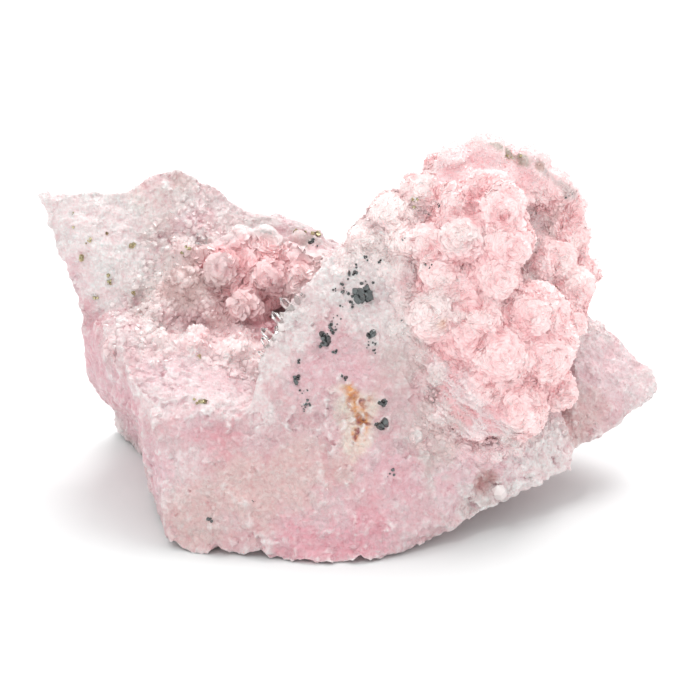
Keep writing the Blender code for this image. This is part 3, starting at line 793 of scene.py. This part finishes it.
# The grown skin under the blades: soft and glowing, because light goes half a millimetre into it.
mound.data.materials.append(
    stone(
        "rosette_rhodochrosite_skin", grain=0.5, sparkle=0.3, mottle=0.07, pit=0.5, wisps=0.3, depth=0.5,
        Roughness=0.36, IOR=1.6, Subsurface_Weight=0.5,
    )
)
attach(mound, "root")
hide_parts("rosette_mound")

blade = blade_pattern()


def stand_blades(name, body, seats, hearts, width, height):
    """Blades standing in the body's skin. Each takes the skin's tint and is paler towards its edge, a painted
    highlight.
    """
    places = [blade_place(p, n, hearts, width, height) for p, n in seats]
    blades = repeated(name, blade, places)
    up = np.tile(blade[0][:, 1], len(places))
    skin_tints = tints_beside(points_of(blades.data), body)
    # painted highlight: each blade is painted paler towards its top edge
    paint(blades.data, "rose", [], [(skin_tints, np.ones(len(up))), ("shell", up * 0.22)])
    blades.data.materials.append(blade_stone)
    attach(blades, "root")
    return blades


# Smooth grown crystal faces, a little glossier than the skin, so that each blade's edge glints.
blade_stone = stone(
    "rosette_rhodochrosite_blades", grain=0.7, sparkle=0.15, mottle=0.05, pit=0.1, Roughness=0.24, IOR=1.6
)
centres, _ = faces_of(mound.data)
bladed = (near(centres, FIBROUS) < 0.5) & (near(wander(centres, 1.5, 1.5), CROWN) < 0.45)
grown_tree = tree_of_faces(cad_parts["rosette_mound"].data)
bladed[bladed] = distance_to(centres[bladed], grown_tree) < 0.9
seats = clear_of(rock_tree, scattered(mound.data, BLADE_GAP, bladed), 1.2)
mound_blades = stand_blades("rosette_blades", mound, seats, mound_hearts, BLADE_WIDTH, BLADE_HEIGHT)

# --- The crust in the hollow ---
# The same growth inside the hollow: pink roses of larger blades hang from its back, and its floor and
# sides are coated in grey-pink druse. It thins out at its edge and melts into the rock.

HOLLOW_HEAD_GAP, HOLLOW_KNOB_GAP = 4.6, 2.4  # mm
HOLLOW_BLADE_GAP = 0.5
HOLLOW_BLADE_WIDTH, HOLLOW_BLADE_HEIGHT = 0.6, 0.78
CRUST_ROSES = [
    (-20.6, 3, 33.5, 3.2), (-14.5, 3, 33, 4.6), (-12, 4.5, 35, 3), (-8, 3.5, 31, 4.6),
    (-16, 0, 29, 3.4), (-18, 1.5, 31, 2.6), (-5, 5, 32, 2.6), (-13, 1, 29, 3.4),
]
crust = merged_copy("vug_crystals", "hollow_crust")
with_fills(
    crust, [(-16, -0.6, 28.6, 2.6), (-13.2, 1.6, 32.4, 2.8), (-19.6, 2.2, 33.6, 2.6), (-8.5, 2.4, 31.5, 2.4)]
)
joined(crust, [apron(crust.data, rock.data, bare_rock_tree, 4.0, 0.8)])
remeshed(crust, CRUST_GRID)
modify(crust, "SMOOTH", factor=0.5, iterations=8)
raise_points(crust.data, np.maximum(under_even(crust.data, 100), 0) * 0.5)
crust_points = points_of(crust.data)
rosy = near(wander(crust_points, 3, 1), CRUST_ROSES)
crust_hearts = tree_of(spaced(crust.data, HOLLOW_HEAD_GAP))
crust_knobs = tree_of(spaced(crust.data, HOLLOW_KNOB_GAP))
rise, crease = in_heads(crust_points, crust_hearts, 3.6, 0.9)
knob_rise, knob_crease = in_heads(crust_points, crust_knobs, 1.5, 0.4)
roses = rise * 0.55 - crease * 0.2 + knob_rise * 0.3 - knob_crease * 0.1 - 0.4
grown = measured(crust_points, druse_height) * 0.8 - 0.2
SADDLE = [(-13.3, 7.6, 38.5, 6), (-9, 9, 36.5, 6), (-5, 8, 34.5, 4)]
raise_points(crust.data, (roses * rosy + grown * (1 - rosy)) * (1 - 0.7 * near(crust_points, SADDLE)))
CRUST_TINTS = [
    ("rose", 0.9, CRUST_ROSES),
    ("coral", 0.4, [(-12, 3, 32, 5), (-8, 3, 31, 4), (-16, 2, 32, 4), (-14, 1, 29, 4), (-17, 3, 33, 4)]),
    ("snow", 0.6, [(-13.3, 7.6, 38.5, 4), (-5, 6, 34, 3), (-18, 8, 38, 4)]),
    ("smoke", 0.7, [(-25.6, -0.4, 31.6, 4.5), (-29, 1, 33, 4)]),
    # painted shade in the deepest part of the hollow, behind the ledge
    ("cavity", 0.4, [(-25.6, -0.4, 31.6, 4), (-22, 0, 30, 4), (-20, -2, 27, 3), (-24, 4, 35, 3)], 1.2),
    # painted shade: the hole under the roses is painted deep pink and dark
    ("deep", 0.8, [(-12.5, -2.5, 26.3, 2.6), (-11, 0, 27, 2.4)], 0.6),
    ("rose", 0.7, [(-22.3, -8.3, 24.3, 5), (-16.5, -8.4, 22.7, 5), (-26, -8, 26, 4)], 0.8),
    ("milky", 0.6, [(-28, -7, 27, 3), (-31, -2, 29, 3), (-24, -5, 27, 2.4), (-21, -11, 23, 3)]),
    # painted light: the ledge under the crest is painted paler to undo the crest's shadow on it
    ("shell", 0.6, [(-16.5, -8.4, 22.7, 4), (-12, -9, 23, 3)], 1.2),
    # painted light: the shelf's right end beside the crest is painted rosier and paler to undo its shade
    ("rose", 1.0, [(-8, 2.7, 30.6, 4), (-5, 4, 31, 3), (-14, 0, 29, 3)]),
    ("shell", 0.8, [(-8, 2.7, 30.6, 3), (-5.5, 3.5, 31, 3)], 1.4),
    ("ash", 0.8, line((-14.6, 6.4, 38.2), (-11.8, 7.1, 37.4), 0.45), 0.6),
]
fine, broad = under_even(crust.data, 5), under_even(crust.data, 60)
crust_points = points_of(crust.data)
rosy = near(crust_points, CRUST_ROSES)
close = 1.3 - distance_to(crust_points, rock_tree) / 1.4
paint(
    crust.data,
    "massive",
    CRUST_TINTS,
    [
        # painted shade and light: creases in the roses are painted coral for the shade and glow in them, and ridges
        # paler as painted highlight
        ("coral", (broad * 0.9 + fine * 3 - 0.1) * 0.8 * rosy),
        ("shell", np.minimum(-broad * 0.5 - fine * 1.5 - 0.1, 0.35)),
        (tints_beside(crust_points, rock), np.minimum(close, 0.85) * (1 - rosy)),
    ],
)
crust.data.materials.append(mound.data.materials[0])
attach(crust, "root")
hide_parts("vug_crystals")

centres, _ = faces_of(crust.data)
rosy_faces = near(wander(centres, 3, 1), CRUST_ROSES) > 0.4
seats = clear_of(rock_tree, scattered(crust.data, HOLLOW_BLADE_GAP, rosy_faces), 1.5)
crust_blades = stand_blades(
    "hollow_blades", crust, seats, crust_hearts, HOLLOW_BLADE_WIDTH, HOLLOW_BLADE_HEIGHT
)

# --- The druse ---
# Short six-sided quartz crystals, milky and half see-through, that grew close together as a coating
# on the rock, on the hollow's floor and between the roses. Only their tops stand clear.

DRUSE_GAP = 0.9  # mm
FINE_DRUSE_GAP = 0.55  # between the roses
DRUSE_SIZE = 1.0  # mm across and high, before each one's own size
FINE_DRUSE_WIDTH, FINE_DRUSE_HEIGHT = 0.55, 0.6
DRUSE_TIP = 0.5  # how much of a crystal's height its point takes


def prism_pattern(point):
    """One six-sided crystal, 1 across and 1 high, whose top is drawn to a point."""
    cylinder = bpy.ops.mesh.primitive_cylinder_add
    pattern_begun(cylinder, vertices=6, radius=0.5, depth=1 - point, end_fill_type="NOTHING")
    bpy.ops.transform.translate(value=(0, 0, (1 - point) / 2))
    choose(lambda p: p.z < 0.01)
    bpy.ops.mesh.edge_face_add()
    choose(lambda p: p.z > 0.01)
    bpy.ops.mesh.extrude_region_move(TRANSFORM_OT_translate={"value": (0, 0, point)})
    bpy.ops.mesh.merge(type="CENTER")
    return pattern_kept()


def place_of(foot, up, width, height, turn):
    """Where a crystal of this size stands, foot in mm."""
    up = up.normalized()
    side = Matrix.Rotation(turn, 3, up) @ up.orthogonal().normalized()
    return axes_at(foot, side * width, up.cross(side) * width, up * height)


def crystal_place(place, normal, width, height, lean, sunk):
    """Where a crystal of about this size stands, leaning by chance, with this much of it sunk in."""
    up = (normal + beside(normal) * chance.uniform(0, lean)).normalized()
    side = beside(up)
    size = chance.uniform(0.55, 1) ** 1.5 * 1.35
    wide = width * size
    tall = height * size * chance.uniform(0.8, 1.2)
    across = up.cross(side) * wide * chance.uniform(0.7, 1)
    return axes_at(place - up * tall * sunk, side * wide, across, up * tall)


prism = prism_pattern(DRUSE_TIP)
rock_centres, _ = faces_of(rock.data)
drusy_faces = (near(wander(rock_centres, 4, 1.5), DRUSY) > 0.35) & (rock_centres[:, 2] > 12)
seats = scattered(rock.data, DRUSE_GAP, drusy_faces)
centres, _ = faces_of(crust.data)
plain = (near(centres, CRUST_ROSES) < 0.3) & (near(centres, SADDLE) < 0.3)
seats += clear_of(rock_tree, scattered(crust.data, DRUSE_GAP, plain), 1.0)
places = [crystal_place(p, n, DRUSE_SIZE, DRUSE_SIZE, 1.0, SUNK) for p, n in seats]
seats = clear_of(rock_tree, scattered(mound.data, FINE_DRUSE_GAP, ~bladed), 0.6)
places += [crystal_place(p, n, FINE_DRUSE_WIDTH, FINE_DRUSE_HEIGHT, 1.2, 0.6) for p, n in seats]
# One large crystal stands in the hole at the rock's lower right.
places.append(place_of(Vector((20.9, -20.0, 6.6)), Vector((-0.25, -0.55, 0.8)), 2.0, 2.6, 0.4))
druse = repeated("quartz_druse", prism, places)
druse_points = points_of(druse.data)
druse_tints = [(tints_beside(druse_points, rock), np.ones(len(druse_points)))]
for grown, share in ((mound, 1), (crust, 0.85)):
    beside_it = (distance_to(druse_points, tree_of_faces(grown.data)) < 0.5).astype(np.float32)
    druse_tints.append((tints_beside(druse_points, grown), beside_it * share))
paint(druse.data, "snow", [], druse_tints)
# Grown quartz faces, cloudy inside: glassy points of light on a grey-white ground.
druse.data.materials.append(
    stone("milky_quartz_druse", grain=0.9, sparkle=0.1, mottle=0.05, pit=0.05, Roughness=0.16, IOR=1.54)
)
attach(druse, "root")

# --- The clear quartz points ---
# A row of water-clear quartz crystals along the hollow's near edge, six-sided with pointed tops. They
# grew last, so they stand free and lean each its own way.

POINTS = [  # foot, width and height, in mm
    ((-8.9, -13.4, 32.4), 1.2, 2.8), ((-8.0, -13.0, 33.2), 0.8, 1.6), ((-9.8, -13.9, 31.5), 0.6, 1.2),
    ((-10.4, -14.1, 30.6), 1.2, 2.3), ((-11.1, -14.4, 29.5), 0.7, 1.2), ((-11.8, -14.7, 28.7), 1.3, 2.2),
    ((-12.5, -15.2, 27.6), 0.9, 1.7), ((-12.9, -15.9, 26.4), 0.6, 1.1), ((-7.2, -12.7, 34.2), 0.6, 1.1),
]
OUT_OF_HOLLOW = Vector((-0.5, -0.2, 0.8)).normalized()
ROOT = 0.4  # mm of each crystal under the rock's skin

chance = random.Random(3)  # begun anew here and below, so that each piece comes out the same every time
places = []
for foot, width, height in POINTS:
    up = Vector((-0.4 + chance.uniform(-0.6, 0.6), -0.2 + chance.uniform(-0.6, 0.5), 0.85))
    places.append(place_of(Vector(foot) - OUT_OF_HOLLOW * ROOT, up, width, height, chance.uniform(0, 1)))
quartz_points = repeated("clear_quartz_points", prism_pattern(0.3), places)
# Water-clear quartz with faint veils: bright edges, dark depths, and the rock seen through it.
clear_quartz, tree, shader = new_material(
    "clear_quartz_grown", Roughness=0.03, IOR=1.54, Transmission_Weight=1.0, Base_Color=linear("#FBFAF8")
)
where = add(tree, "ShaderNodeTexCoord").outputs["Object"]
veils = add(tree, "ShaderNodeTexNoise", {"Vector": where, "Scale": 1 / (0.7 * MM), "Detail": 3.0})
dulling = {"Value": veils.outputs["Fac"], "From Min": 0.4, "From Max": 0.7, "To Min": 0.02, "To Max": 0.2}
tree.links.new(add(tree, "ShaderNodeMapRange", dulling).outputs[0], shader.inputs["Roughness"])
quartz_points.data.materials.append(clear_quartz)
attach(quartz_points, "root")
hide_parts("quartz_points")

# --- The sphalerite ---
# Dark zinc ore that grew with the quartz: clusters of small crystals with cut corners, half sunk in
# the front face, and sprays of fine specks round them.


def grain_pattern(cut):
    """A cube with its corners cut away, as grown crystals of ore have."""
    pattern_begun(bpy.ops.mesh.primitive_cube_add, size=1)
    bpy.ops.mesh.bevel(offset=cut, affect="VERTICES")
    return pattern_kept()


def spread(amount):
    """A step by chance, mostly under amount in each direction."""
    return Vector([chance.gauss(0, amount) for _ in range(3)])


def turned(place, size):
    """A grain of this size, turned and squashed by chance."""
    turn = Matrix.Rotation(chance.uniform(0, 3), 4, spread(1).normalized())
    sizes = [size * chance.uniform(0.8, 1.15) for _ in range(3)]
    return Matrix.Translation(place) @ turn @ Matrix.Diagonal(sizes + [1])


def cluster_on(tree, middle, half, grains, largest, proud):
    """Grains grown out from the middle, each beside an older one and mostly smaller, sunk in the surface."""
    seats = [tree.find_nearest(middle)[0]]
    places = []
    for index in range(grains):
        size = largest * chance.uniform(0.3, 1) ** 1.6 * (1.1 - 0.6 * index / grains) if index else largest
        seat = chance.choice(seats) + spread(0.55 * size)
        if any(abs(seat[axis] - middle[axis]) > half[axis] for axis in range(3)):
            continue
        foot, normal, *_ = tree.find_nearest(seat)
        seats.append(foot)
        places.append(turned(foot + normal * size * proud, size))
    return places


def middle_and_half(node):
    """The middle of a node and half its sides, in mm."""
    low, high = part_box(node)
    return (low + high) / 2 / MM, (high - low) / 2 / MM


def painted_flash_metal(name, dark, bright, **finish):
    """A metallic mineral whose 0.5 mm cells each get a colour by chance between dark and bright: painted flashes of
    light on its faces.
    """
    material, tree, shader = new_material(name, **finish)
    where = add(tree, "ShaderNodeTexCoord").outputs["Object"]
    cells = add(tree, "ShaderNodeTexVoronoi", {"Vector": where, "Scale": 1 / (0.5 * MM)})
    each = add(tree, "ShaderNodeSeparateColor", {"Color": cells.outputs["Color"]})
    ramp = add(tree, "ShaderNodeValToRGB", {"Fac": each.outputs["Red"]})
    for element, colour in zip(ramp.color_ramp.elements, (dark, bright)):
        element.color = linear(colour)
    tree.links.new(ramp.outputs["Color"], shader.inputs["Base Color"])
    return material


surface = [rock, mound, crust]
starts = np.cumsum([0] + [len(piece.data.vertices) for piece in surface])
skin_tree = BVHTree.FromPolygons(
    [v.co / MM for piece in surface for v in piece.data.vertices],
    [[v + int(start) for v in p.vertices] for piece, start in zip(surface, starts) for p in piece.data.polygons],
)
chance = random.Random(4)
metal_grain = grain_pattern(0.3)
# Grown sphalerite, resinous to nearly metallic: grey-black, with some cells painted lighter as painted flashes.
sphalerite = painted_flash_metal("sphalerite_grown", "#14181A", "#4A5454", Roughness=0.16, IOR=2.37, Metallic=0.35)
for index in range(1, 7):
    middle, half = middle_and_half(f"sphalerite_grain_{index}")
    places = cluster_on(rock_tree, middle, half * 1.3, int(60 * max(half)), 0.55 * max(half), 0.2)
    grains = repeated(f"sphalerite_cluster_{index}", metal_grain, places)
    grains.data.materials.append(sphalerite)
    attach(grains, "root")
    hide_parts(f"sphalerite_grain_{index}")

# Each group of specks: its middle, how far it spreads, how many and how large they are, in mm.
SPHALERITE_SPECKS = [
    ((0.5, -11.5, 36), 2.0, 45, 0.4), ((-1.6, -12.5, 33.8), 1.5, 30, 0.4), ((1.6, -10.5, 38), 1.2, 14, 0.35),
    ((-3.2, -14.8, 30.2), 1.1, 22, 0.4), ((2.4, -15.4, 28), 0.9, 18, 0.35), ((2.6, -15.8, 27), 0.4, 8, 0.35),
    ((-1.2, -18.1, 23.8), 0.4, 8, 0.45), ((-2.6, -16.6, 27), 0.3, 5, 0.35), ((-7.6, -16.9, 25.5), 0.15, 4, 0.35),
    ((-7.1, -18.7, 21.9), 0.2, 4, 0.35), ((-6.6, -19.4, 20.2), 0.5, 12, 0.4), ((5.1, -23.5, 11.2), 0.2, 4, 0.4),
    ((-20.2, -24.9, 4.9), 0.2, 6, 0.45), ((-14.1, -25, 7.7), 0.15, 3, 0.25), ((7.4, -13.3, 30.3), 0.6, 14, 0.35),
    ((-6.7, 11.9, 34.5), 0.6, 16, 0.4), ((-8.2, 12.5, 35), 0.5, 8, 0.35), ((11.7, -9.8, 46.2), 0.3, 5, 0.35),
    ((10.4, -7.1, 44.2), 0.3, 5, 0.35), ((6.9, -11.1, 42), 0.4, 6, 0.3), ((10.2, -13.6, 39.1), 0.3, 5, 0.35),
    ((25.9, 0.6, 42), 0.5, 7, 0.35), ((27.8, 1.4, 40.7), 0.5, 7, 0.35), ((31.5, 0.7, 45.3), 0.5, 8, 0.35),
]


def specks_of(groups):
    """Where the specks of these groups lie: in knots of four, half sunk in the surface."""
    places = []
    for middle, width, count, size in groups:
        for index in range(count):
            if index % 4 == 0:
                knot = Vector(middle) + spread(width * 0.6)
                reach = size * chance.uniform(0.2, 0.9)
            foot, normal, *_ = skin_tree.find_nearest(knot + spread(reach))
            wide = size * chance.uniform(0.3, 1) ** 1.5
            places.append(turned(foot + normal * wide * 0.1, wide))
    return places


specks = repeated("sphalerite_specks", metal_grain, specks_of(SPHALERITE_SPECKS))
specks.data.materials.append(sphalerite)
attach(specks, "root")

# --- The pyrite ---
# Small brassy cubes of iron ore, tarnished brown, half sunk in the pale coating of the wing and the
# bench, with a few fine grains scattered elsewhere.

chance = random.Random(8)
cube_grain = grain_pattern(0.08)
# Brassy metal that air has dulled and browned: partly tarnish, and some cells painted lighter as painted glints, darker
# ones between.
pyrite = painted_flash_metal("pyrite_tarnished", "#7E745A", "#D6CCA4", Roughness=0.25, Metallic=0.85)
for index in range(1, 7):
    middle, half = middle_and_half(f"pyrite_grain_{index}")
    places = cluster_on(rock_tree, middle, half * 0.8, 16, 0.7 * max(half), 0.15)
    grains = repeated(f"pyrite_cluster_{index}", cube_grain, places)
    grains.data.materials.append(pyrite)
    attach(grains, "root")
    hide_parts(f"pyrite_grain_{index}")

# As above: middle, spread, number and size.
PYRITE_SPECKS = [
    ((-24.8, 3.8, 36.2), 0.5, 10, 0.5), ((-22.5, -9.2, 23.7), 0.35, 8, 0.5), ((-21.6, -17.9, 19.9), 0.4, 9, 0.55),
    ((-42, 4.4, 41.4), 0.2, 4, 0.3), ((-41.6, 3, 39.4), 0.2, 4, 0.3), ((-38.5, 2.3, 28.7), 0.2, 5, 0.35),
    ((-36.3, 1.6, 31.2), 0.4, 6, 0.4), ((-8.4, 12.6, 35.2), 0.5, 8, 0.4), ((8.3, -7.1, 46.2), 0.15, 3, 0.5),
    ((29.7, -5, 32.4), 0.12, 3, 0.35), ((-39.2, 2.8, 37.4), 0.4, 6, 0.4), ((22.8, -1, 51.4), 0.5, 6, 0.35),
]
specks = repeated("pyrite_specks", cube_grain, specks_of(PYRITE_SPECKS))
specks.data.materials.append(pyrite)
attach(specks, "root")

# --- Studio ---
# A white floor, a large soft light overhead and behind, and a small one that makes the crystals glint.

bpy.ops.object.select_all(action="DESELECT")
bpy.ops.mesh.primitive_plane_add(size=4, location=(0, 0, 0))
floor = bpy.context.object
floor.name = "studio_floor"
floor.data.materials.append(new_material("white_paper_matt", Base_Color=linear("#E2E4E4"), Roughness=0.9)[0])
floor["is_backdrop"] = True

world = bpy.data.worlds.new("soft_room")
world.use_nodes = True
background = world.node_tree.nodes["Background"]
background.inputs["Color"].default_value = (1, 1, 1, 1)
background.inputs["Strength"].default_value = 1.1
bpy.context.scene.world = world

for name, width, energy, direction in (  # width in degrees
    ("overhead_softbox", 40, 1.85, (-0.22, -0.55, -1)),
    ("small_key_light", 9, 0.4, (0.35, 0.6, -1)),
):
    lamp = bpy.data.lights.new(name, "SUN")
    lamp.angle = math.radians(width)
    lamp.energy = energy
    light = bpy.data.objects.new(name, lamp)
    light.rotation_euler = Vector(direction).to_track_quat("-Z", "Y").to_euler()
    bpy.context.scene.collection.objects.link(light)
bpy.context.scene.view_settings.view_transform = "Standard"

TILT = math.radians(20)  # how far the camera looks down
TARGET = Vector((-0.53, 0.69, 21.0)) * MM
DISTANCE = 291.67 * MM
camera = bpy.data.cameras.new("specimen_camera")
camera.lens = 100
camera.sensor_width = 36
camera.clip_start = 0.01
camera_object = bpy.data.objects.new("specimen_camera", camera)
look = Vector((0, math.cos(TILT), -math.sin(TILT)))
camera_object.location = TARGET - look * DISTANCE
camera_object.rotation_euler = look.to_track_quat("-Z", "Y").to_euler()
bpy.context.scene.collection.objects.link(camera_object)
bpy.context.scene.camera = camera_object

low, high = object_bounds()
